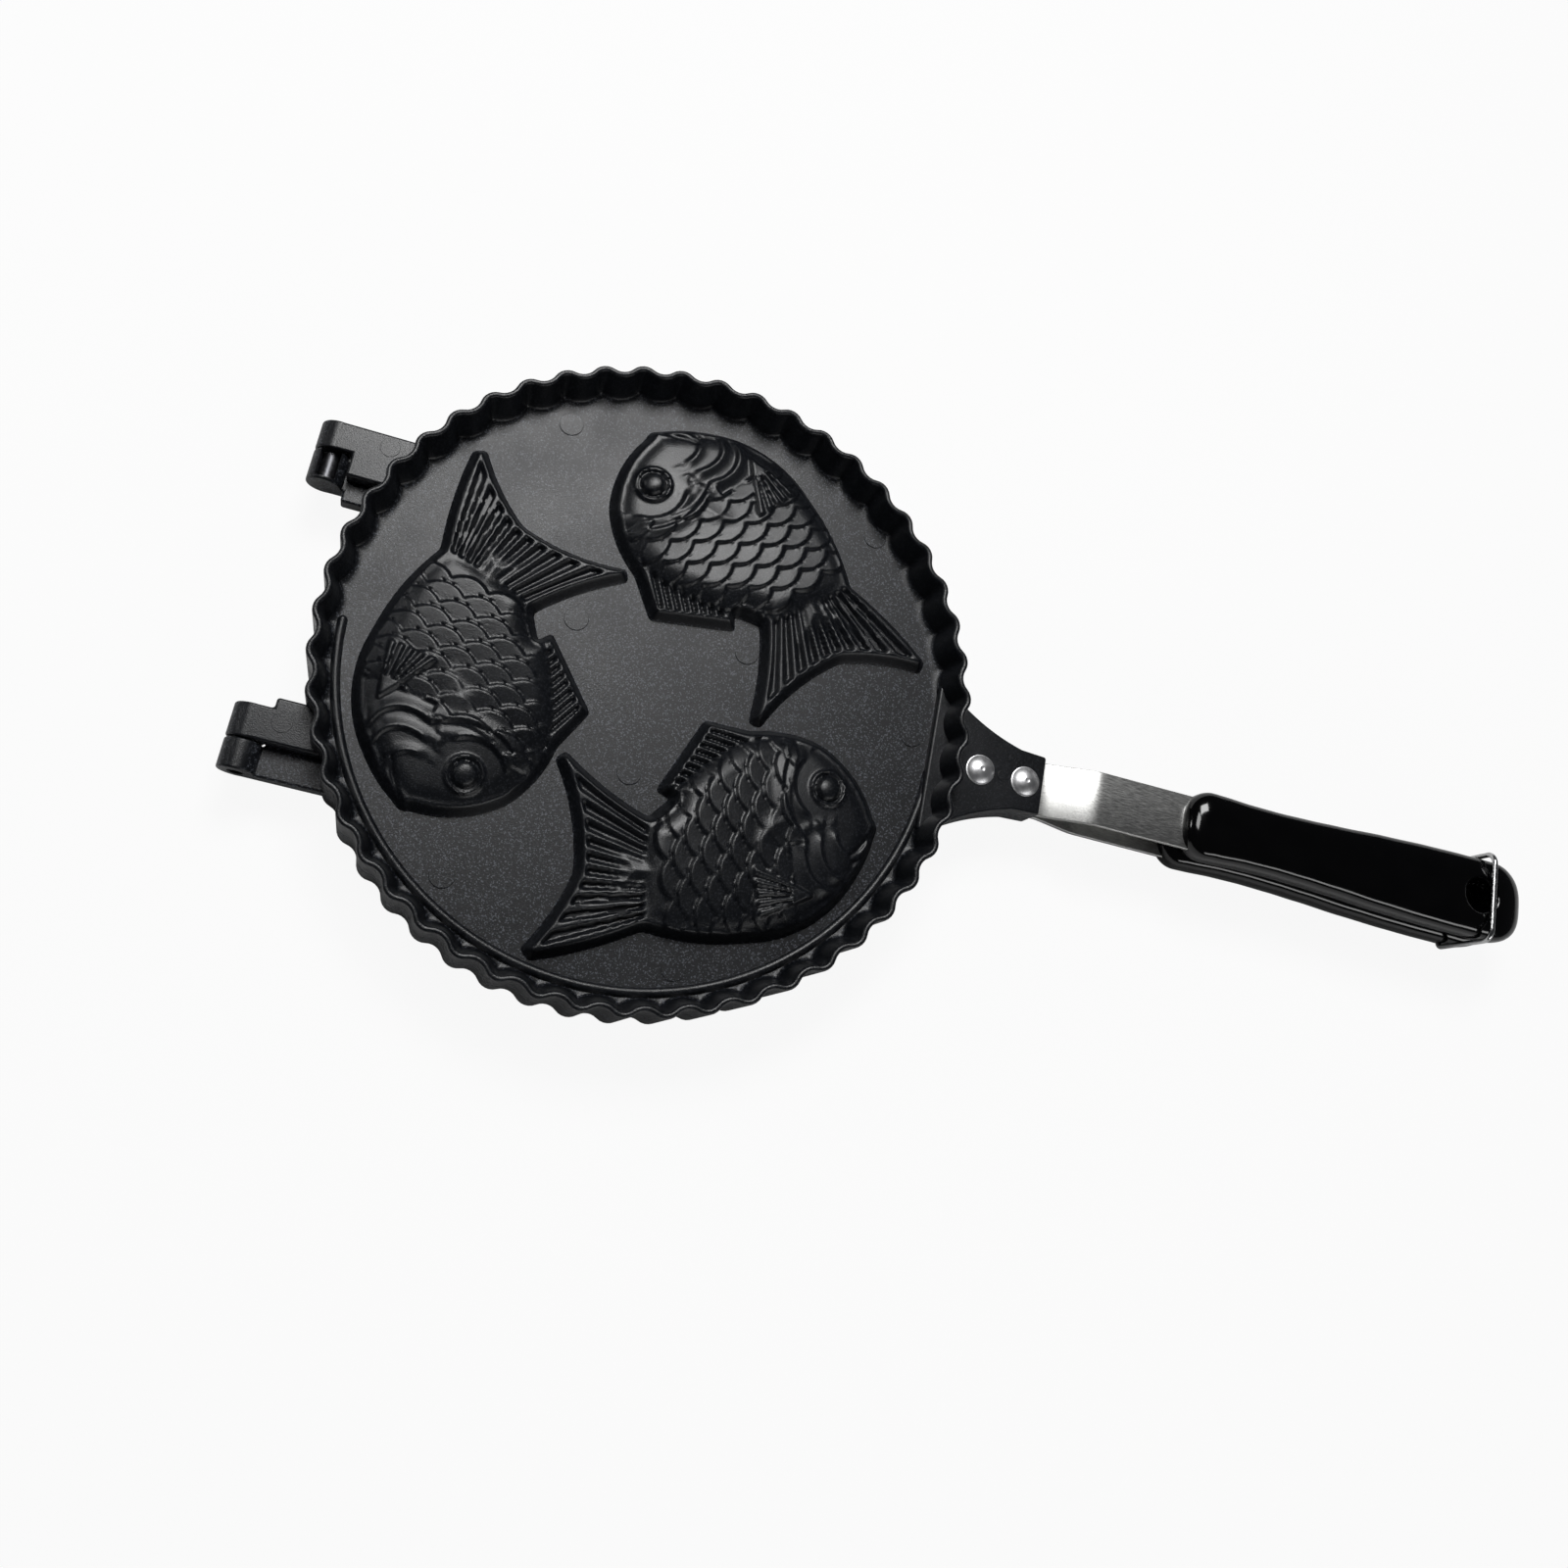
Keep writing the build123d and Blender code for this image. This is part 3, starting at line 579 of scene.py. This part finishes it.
def fishSolid(pitch, low, floorLevel, heightAt, margin):
    bm = bmesh.new()
    left, right, bottom, top = -68.0, 58.0, -36.0, 44.0
    columns, rows = round((right - left) / pitch), round((top - bottom) / pitch)
    bmesh.ops.create_grid(bm, x_segments=columns, y_segments=rows, size=1)
    far = []
    for v in bm.verts:
        x = left + (v.co.x + 1) / 2 * (right - left)
        y = bottom + (v.co.y + 1) / 2 * (top - bottom)
        edge = fishDepth(x, y)
        v.co = (x, y, low)
        if edge < -margin:
            far.append(v)
    bmesh.ops.delete(bm, geom=far, context="VERTS")
    loose = [v for v in bm.verts if not v.link_faces]
    bmesh.ops.delete(bm, geom=loose, context="VERTS")
    grown = bmesh.ops.extrude_face_region(bm, geom=bm.faces[:], use_keep_orig=True)
    tops = [v for v in grown["geom"] if isinstance(v, bmesh.types.BMVert)]
    for v in tops:
        x, y = v.co.x, v.co.y
        v.co.z = floorLevel + heightAt(x, y, fishDepth(x, y), bodyDepth(x, y))
    bmesh.ops.recalc_face_normals(bm, faces=bm.faces)
    return bm


def fishPlaces():
    x, y = fish["place"]
    first = Matrix.Translation((x, y, 0)) @ Matrix.Rotation(radians(fish["turn"]), 4, "Z")
    return [Matrix.Rotation(2 * pi * k / 3, 4, "Z") @ first for k in range(3)]


# details of the casting
casting = {"bead": (97.3, 1.6, 183.0, 174.0),      # radius, thickness, first angle and sweep
           "mark": 4.0, "marks": ((-44.3, 80.6), (65.0, 71.9), (-27.4, 15.3), (29.4, 19.2),
                                  (-48.1, -74.6), (0.3, -29.6), (27.0, -86.2), (89.7, 6.4)),
           "bracket": ((137.0, 10.2), (128.0, 10.7), (112.5, 16.4), (102.0, 23.0), (96.0, 25.0)),
           "seat": (105.5, 138.0, 9.3)}


def beadRing():
    radius, thick, start, sweep = casting["bead"]
    bm = bmesh.new()
    profile = bmesh.ops.create_circle(bm, segments=20, radius=thick)
    upright = Matrix.Translation((radius, 0, 4.0)) @ Matrix.Rotation(pi / 2, 4, "X")
    place = Matrix.Rotation(radians(start), 4, "Z") @ upright
    bmesh.ops.transform(bm, matrix=place, verts=profile["verts"])
    bmesh.ops.spin(bm, geom=bm.verts[:] + bm.edges[:], cent=(0, 0, 0), axis=(0, 0, 1),
                   angle=radians(sweep), steps=180)
    bmesh.ops.holes_fill(bm, edges=[e for e in bm.edges if e.is_boundary], sides=0)
    bmesh.ops.recalc_face_normals(bm, faces=bm.faces)
    return bm


def beadEnd(share):
    radius, thick, start, sweep = casting["bead"]
    bm = bmesh.new()
    bmesh.ops.create_uvsphere(bm, u_segments=20, v_segments=11, radius=thick)
    turn = radians(start + sweep * share)
    bmesh.ops.translate(bm, verts=bm.verts, vec=(radius * cos(turn), radius * sin(turn), 4.0))
    return bm


def bracketOutline():
    end, neck, waist, root, inner = casting["bracket"]
    side = [end, *arcPoints(neck, waist, root, 14), root, inner]
    return side + [(x, -y) for x, y in reversed(side)]


def roundMark(x, y, radius, low, high):
    return barrel(radius, low, high, Matrix.Translation((x, y, 0)), 0.12, 40)


def makeCasting():
    body = meshPiece("upperCasting", panBody())
    added = [meshPiece("bead", beadRing()), meshPiece("beadEnd", beadEnd(0)),
             meshPiece("beadEnd", beadEnd(1)), meshPiece("bracket", prism(bracketOutline(), 0.1, 6.8, 0.9))]
    outside = meshPiece("boss", fishSolid(fish["pitch"], 1.5, 3.9, outsideHeight, 1.2))
    inside = meshPiece("mould", fishSolid(fish["mouldPitch"], -2.0, 0.1, mouldHeight, 0.5))
    removed = []
    for k, place in enumerate(fishPlaces()):
        for source, target, name in ((outside, added, "boss"), (inside, removed, "mould")):
            copy = bpy.data.objects.new(name + str(k), source.data.copy())
            bpy.context.scene.collection.objects.link(copy)
            copy.data.transform(place)
            target.append(copy)
    for x, y in casting["marks"]:
        added.append(meshPiece("mark", roundMark(x, y, casting["mark"], 3.2, 4.22)))
    added.append(meshPiece("mark", roundMark(122.4, 0, 1.9, 6.0, 7.05)))
    start, end, side = casting["seat"]
    seat = prism([(start, -side), (end, -side), (end, side), (start, side)], -1.0, 3.0)
    removed.append(meshPiece("strapSeat", seat))
    combine(body, added, "UNION")
    combine(body, removed, "DIFFERENCE")
    discard(outside, inside, *added, *removed)
    return body


upperCasting = makeCasting()
print("casting", len(upperCasting.data.polygons), "faces")
lowerCasting = bpy.data.objects.new("lowerCasting", upperCasting.data.copy())
bpy.context.scene.collection.objects.link(lowerCasting)
upperCasting.data.transform(upperPlace)
lowerCasting.data.transform(mirrorPlace)
lowerCasting.data.flip_normals()
for piece, half in ((upperCasting, "upper"), (lowerCasting, "lower")):
    nodes = [half + "_" + part for part in ("plate", "rim", "near_fish", "far_fish", "hinge_fish")]
    finishPiece(piece, castCoat, half + "_half", nodes, 70)
    for face in piece.data.polygons:      # the floor and the meeting face are shaded flat
        away = abs(face.center.z - panCentre.z)
        if abs(face.normal.z) > 0.9999 and min(abs(away - 0.0039), abs(away - 0.0001)) < 3e-6:
            face.use_smooth = False
    evenNormals(piece)


# hinge lugs: an eye with its barrel, and a hook with a trough that opens at the meeting face
lug = {"axis": -115.0, "radius": 5.8, "height": 5.8, "eye": (48.7, 58.3), "hook": (-48.3, -37.5),
       "shoulder": 41.0, "step": -34.1, "behind": -108.8, "round": 0.9,
       "marks": ((-98.0, 54.0), (-105.4, -41.4))}


def lugPair(half, place):
    axis, behind, height = lug["axis"], lug["behind"], lug["height"]
    turn = Matrix.Translation((axis, 0, 0)) @ Matrix.Rotation(-pi / 2, 4, "X")
    low, high = lug["eye"]
    outline = [(axis, high), (-85.0, high), (-90.5, 48.5), (-94.6, lug["shoulder"]),
               (behind, lug["shoulder"]), (behind, low), (axis, low)]
    eyeArm = meshPiece("eyeArm", prism(outline, 0.1, height, lug["round"]))
    eyeRound = meshPiece("eyeRound", barrel(lug["radius"], low, high, turn, 0.7))
    bore = meshPiece("bore", barrel(2.5, high - 2.1, high + 1, turn))
    low, high = lug["hook"]
    outline = [(axis, low), (-91.0, low), (-94.8, -41.0), (-97.4, lug["step"]),
               (behind, lug["step"]), (behind, high), (axis, high)]
    hookArm = meshPiece("hookArm", prism(outline, 0.1, height, lug["round"]))
    hookRound = meshPiece("hookRound", barrel(lug["radius"], low, high, turn, 0.7))
    trough = meshPiece("trough", barrel(2.56, low - 1, high - 1.2, turn))
    mouth = prism([(-2.56, 0.0), (2.56, 0.0), (3.4, -5.9), (-3.4, -5.9)], 1.2 - high, 1 - low)
    upright = Matrix.Translation((axis, 0, 0)) @ Matrix.Rotation(pi / 2, 4, "X")
    bmesh.ops.transform(mouth, matrix=upright, verts=mouth.verts)
    mouthCut = meshPiece("mouthCut", mouth)
    eyeMark, hookMark = (meshPiece("mark", roundMark(x, y, 3.2, 5.2, 5.92)) for x, y in lug["marks"])
    combine(eyeArm, [eyeRound, eyeMark], "UNION")
    combine(eyeArm, [bore], "DIFFERENCE")
    combine(hookArm, [hookRound, hookMark], "UNION")
    combine(hookArm, [trough, mouthCut], "DIFFERENCE")
    both = combine(eyeArm, [hookArm], "UNION")
    both.name = half + "HingeLugs"
    discard(eyeRound, bore, hookArm, hookRound, trough, mouthCut, eyeMark, hookMark)
    both.data.transform(place)
    finishPiece(both, castCoat, half + "_half", (), 40)
    evenNormals(both)


for half, place in (("upper", upperPlace), ("lower", turnPlace)):
    lugPair(half, place)
print("hinge lugs")


# straps: a flat strip bent twice, given its thickness and rounded edges
strap = {"start": 105.6, "end": 287.0, "width": 18.6, "thick": 2.0,
         "low": 2.0, "high": 8.7, "kick": 139.5, "level": 155.0}


def strapHeight(x):
    slope = (strap["high"] - strap["low"]) / (strap["level"] - strap["kick"])
    rising = strap["low"] + (x - strap["kick"]) * slope
    return softMin(softMax(rising, strap["low"], 1.0), strap["high"], 1.0)


def makeStrap(half, place, flip):
    bm = bmesh.new()
    bmesh.ops.create_grid(bm, x_segments=150, y_segments=1, size=1)
    for v in bm.verts:
        x = strap["start"] + (v.co.x + 1) / 2 * (strap["end"] - strap["start"])
        v.co = (x, v.co.y * strap["width"] / 2, strapHeight(x))
    bmesh.ops.recalc_face_normals(bm, faces=bm.faces)
    bmesh.ops.solidify(bm, geom=bm.faces[:], thickness=strap["thick"])
    lowest = min(v.co.z for v in bm.verts)
    bmesh.ops.translate(bm, verts=bm.verts, vec=(0, 0, strap["low"] - strap["thick"] / 2 - lowest))
    bmesh.ops.recalc_face_normals(bm, faces=bm.faces)
    roundEdges(bm, 0.3)
    piece = meshPiece(half + "Strap", bm, place, flip)
    return finishPiece(piece, strapSteel, half + "_half", [half + "_strap"], 40)


for half, place, flip in (("upper", upperPlace, False), ("lower", mirrorPlace, True)):
    makeStrap(half, place, flip)


# rivets: domed heads turned from a profile, with a small dimple
rivet = {"sites": ((114.2, "plate_side"), (130.4, "grip_side")), "seat": 6.8, "radius": 5.1, "height": 2.3}


def makeRivet(half, x, site, place, flip):
    radius, height = rivet["radius"], rivet["height"]
    dome = (radius**2 + height**2) / (2 * height)
    profile = [(0.0, height - 0.12), (0.5, height - 0.1), (0.8, height - 0.02)]
    for k in range(2, 13):
        r = radius * k / 12.6
        profile.append((r, height - dome + sqrt(dome * dome - r * r)))
    profile += [(5.0, 0.25), (5.1, 0.1), (5.05, 0), (2.5, 0)]                   # the head's edge
    profile += [(2.5, -5.8), (4.0, -5.8), (4.0, -6.35), (3.8, -6.4), (0.0, -6.4)]    # shank and tail
    bm = lathe([(r, rivet["seat"] + z) for r, z in profile], 48)
    bmesh.ops.translate(bm, verts=bm.verts, vec=(x, 0, 0))
    piece = meshPiece(half + "Rivet_" + site, bm, place, flip)
    finishPiece(piece, rivetMetal, half + "_half", [half + "_rivet_" + site], 45)


for half, place, flip in (("upper", upperPlace, False), ("lower", mirrorPlace, True)):
    for x, site in rivet["sites"]:
        makeRivet(half, x, site, place, flip)
print("straps and rivets")


# grips: rounded sections along the handle, then the hanging hole
grip = {"start": 187.5, "end": 321.5, "low": 1.2, "high": 16.2, "square": 2.9,
        "around": 72, "along": 120, "frontLength": 9.5, "backLength": 5.5, "widths": (
            (187.5, 12.0), (194.0, 12.0), (201.0, 11.8), (211.0, 11.3), (222.0, 11.2),
            (234.0, 11.55), (245.0, 12.1), (263.0, 13.2), (280.0, 13.9), (292.0, 14.15), (307.3, 14.2)),
        "nose": (303.0, -10.5, 26.7), "hang": 300.0, "hole": 5.5, "lip": 2.7}


def gripWidth(x):
    if x >= 307.3:
        return sqrt(max(14.2**2 - (x - 307.3)**2, 0.0))
    table = grip["widths"]
    for (ax, aw), (bx, bw) in zip(table[:-1], table[1:]):
        if x <= bx:
            t = (x - ax) / (bx - ax)
            return aw + (bw - aw) * (0.5 * t + 0.5 * ease(t))
    return 14.2


def gripSection(x):       # half its width, the height of its middle, half its height
    front = min((x - grip["start"]) / grip["frontLength"], 1.0)
    back = min((grip["end"] - x) / grip["backLength"], 1.0)
    frontCap, backCap = (sqrt(max(1 - (1 - part)**2, 0.0)) for part in (front, back))
    noseX, noseZ, noseRadius = grip["nose"]
    top = min(grip["high"], noseZ + sqrt(max(noseRadius**2 - max(x - noseX, 0.0)**2, 0.0)))
    tall = (top - grip["low"]) / 2 * (0.25 + 0.75 * frontCap) * (0.25 + 0.75 * backCap)
    return gripWidth(x) * (0.2 + 0.8 * frontCap), (top + grip["low"]) / 2, tall


def signedPower(value, power):
    return abs(value)**power * (1 if value > 0 else -1)


def hangHole():
    lip, reach, low, high = grip["lip"], grip["hole"] + grip["lip"], grip["low"], grip["high"]
    turns = [pi / 2 * k / 8 for k in range(9)]
    profile = [(0.0, high + 1), (reach + 0.3, high + 1), (reach, high)]
    profile += [(reach - lip * sin(turn), high - lip + lip * cos(turn)) for turn in turns[1:]]
    profile += [(reach - lip * cos(turn), low + lip - lip * sin(turn)) for turn in turns]
    profile += [(reach + 0.3, low - 1), (0.0, low - 1)]
    hole = lathe(profile, 64)
    bmesh.ops.translate(hole, verts=hole.verts, vec=(grip["hang"], 0, 0))
    return hole


def makeGrip(half, place, flip):
    bm = bmesh.new()
    bmesh.ops.create_grid(bm, x_segments=grip["along"], y_segments=grip["around"], size=1)
    power = 2 / grip["square"]
    for v in bm.verts:
        s = (v.co.x + 1) / 2
        closer = 0.5 - 0.5 * cos(pi * s)              # closer stations at both ends
        x = grip["start"] + (grip["end"] - grip["start"]) * (0.35 * s + 0.65 * closer)
        wide, middle, tall = gripSection(x)
        turn = v.co.y * pi
        v.co = (x, wide * signedPower(cos(turn), power), middle + tall * signedPower(sin(turn), power))
    bmesh.ops.remove_doubles(bm, verts=bm.verts, dist=0.004)
    bmesh.ops.holes_fill(bm, edges=[e for e in bm.edges if e.is_boundary], sides=0)
    bmesh.ops.recalc_face_normals(bm, faces=bm.faces)
    body = meshPiece(half + "Grip", bm)
    drill = meshPiece("drill", hangHole())
    combine(body, [drill], "DIFFERENCE")
    discard(drill)
    body.data.transform(place)
    if flip:
        body.data.flip_normals()
    finishPiece(body, gripGloss, half + "_half", [half + "_grip"], 55)


for half, place, flip in (("upper", upperPlace, False), ("lower", mirrorPlace, True)):
    makeGrip(half, place, flip)
print("grips")

for name, metal in (("upper_hinge_pin", pinMetal), ("lower_hinge_pin", pinMetal), ("wire_latch", wireMetal)):
    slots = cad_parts[name].data.materials
    slots.clear()
    slots.append(metal)


# floor, light and camera
def paleFloor():
    material, tree, shader, where = newMaterial("paleFloor")
    shader.inputs["Base Color"].default_value = (0.9, 0.9, 0.9, 1)
    shader.inputs["Roughness"].default_value = 0.9
    light = addNode(tree, "LightPath")
    glow = addNode(tree, "Emission", {"Color": (1, 1, 1, 1), "Strength": 1.0})
    mixed = addNode(tree, "MixShader", {"Fac": 0.0})
    scaled = addNode(tree, "Math", {"operation": "MULTIPLY"})
    tree.links.new(light.outputs["Is Camera Ray"], scaled.inputs[0])
    scaled.inputs[1].default_value = 0.92
    tree.links.new(scaled.outputs[0], mixed.inputs["Fac"])
    tree.links.new(shader.outputs["BSDF"], mixed.inputs[1])
    tree.links.new(glow.outputs["Emission"], mixed.inputs[2])
    tree.links.new(mixed.outputs["Shader"], tree.nodes["Material Output"].inputs["Surface"])
    return material


bm = bmesh.new()
bmesh.ops.create_grid(bm, x_segments=1, y_segments=1, size=6.0)
floor = meshPiece("floor", bm, Matrix.Translation((0, 0, -0.0002)))
floor.data.materials.append(paleFloor())

world = bpy.data.worlds.new("studio")
bpy.context.scene.world = world
world.use_nodes = True
tree = world.node_tree
light = tree.nodes.new("ShaderNodeLightPath")
soft = tree.nodes["Background"]
soft.inputs["Color"].default_value = (0.9, 0.93, 1.0, 1)
soft.inputs["Strength"].default_value = 0.03
white = tree.nodes.new("ShaderNodeBackground")
white.inputs["Color"].default_value = (1, 1, 1, 1)
white.inputs["Strength"].default_value = 1.0
mixer = tree.nodes.new("ShaderNodeMixShader")
tree.links.new(light.outputs["Is Camera Ray"], mixer.inputs["Fac"])
tree.links.new(soft.outputs["Background"], mixer.inputs[1])
tree.links.new(white.outputs["Background"], mixer.inputs[2])
tree.links.new(mixer.outputs["Shader"], tree.nodes["World Output"].inputs["Surface"])

lamps = {"key": ((-0.15, 0.56, 0.90), (0.42, 0.36), 6.4),       # place, size, power
         "slope": ((-0.38, 0.25, 0.84), (0.2, 0.2), 1.0),
         "left": ((-1.05, 0.25, 0.5), (0.12, 0.12), 0.5),
         "low": ((0.55, -0.85, 0.36), (0.9, 0.16), 2.0)}
for name, (where, size, power) in lamps.items():
    data = bpy.data.lights.new(name, "AREA")
    data.shape = "RECTANGLE"
    data.size, data.size_y = size
    data.energy = power
    lamp = bpy.data.objects.new(name, data)
    bpy.context.scene.collection.objects.link(lamp)
    lamp.location = where
    lamp.rotation_euler = (Vector((-0.03, 0, 0.02)) - Vector(where)).to_track_quat("-Z", "Y").to_euler()

view = {"focal": 1556.112, "centre": (757.736, 702.570), "place": (-0.15665, -0.1428, 0.4868),
        "right": (0.9514083, 0.1939455, 0.2391805), "down": (0.2538131, -0.9337187, -0.2524842),
        "ahead": (0.1743592, 0.3009227, -0.9375737)}
data = bpy.data.cameras.new("view")
camera = bpy.data.objects.new("view", data)
bpy.context.scene.collection.objects.link(camera)
bpy.context.scene.camera = camera
data.sensor_fit = "HORIZONTAL"
data.sensor_width = 36.0
data.lens = view["focal"] * 36.0 / 1600
data.shift_x = (800 - view["centre"][0]) / 1600
data.shift_y = (view["centre"][1] - 800) / 1600
data.clip_start = 0.01
axes = Matrix((view["right"], [-c for c in view["down"]], [-c for c in view["ahead"]])).transposed()
camera.matrix_world = Matrix.Translation(view["place"]) @ axes.to_4x4()
bpy.context.scene.view_settings.view_transform = "Standard"
print("stage and camera")
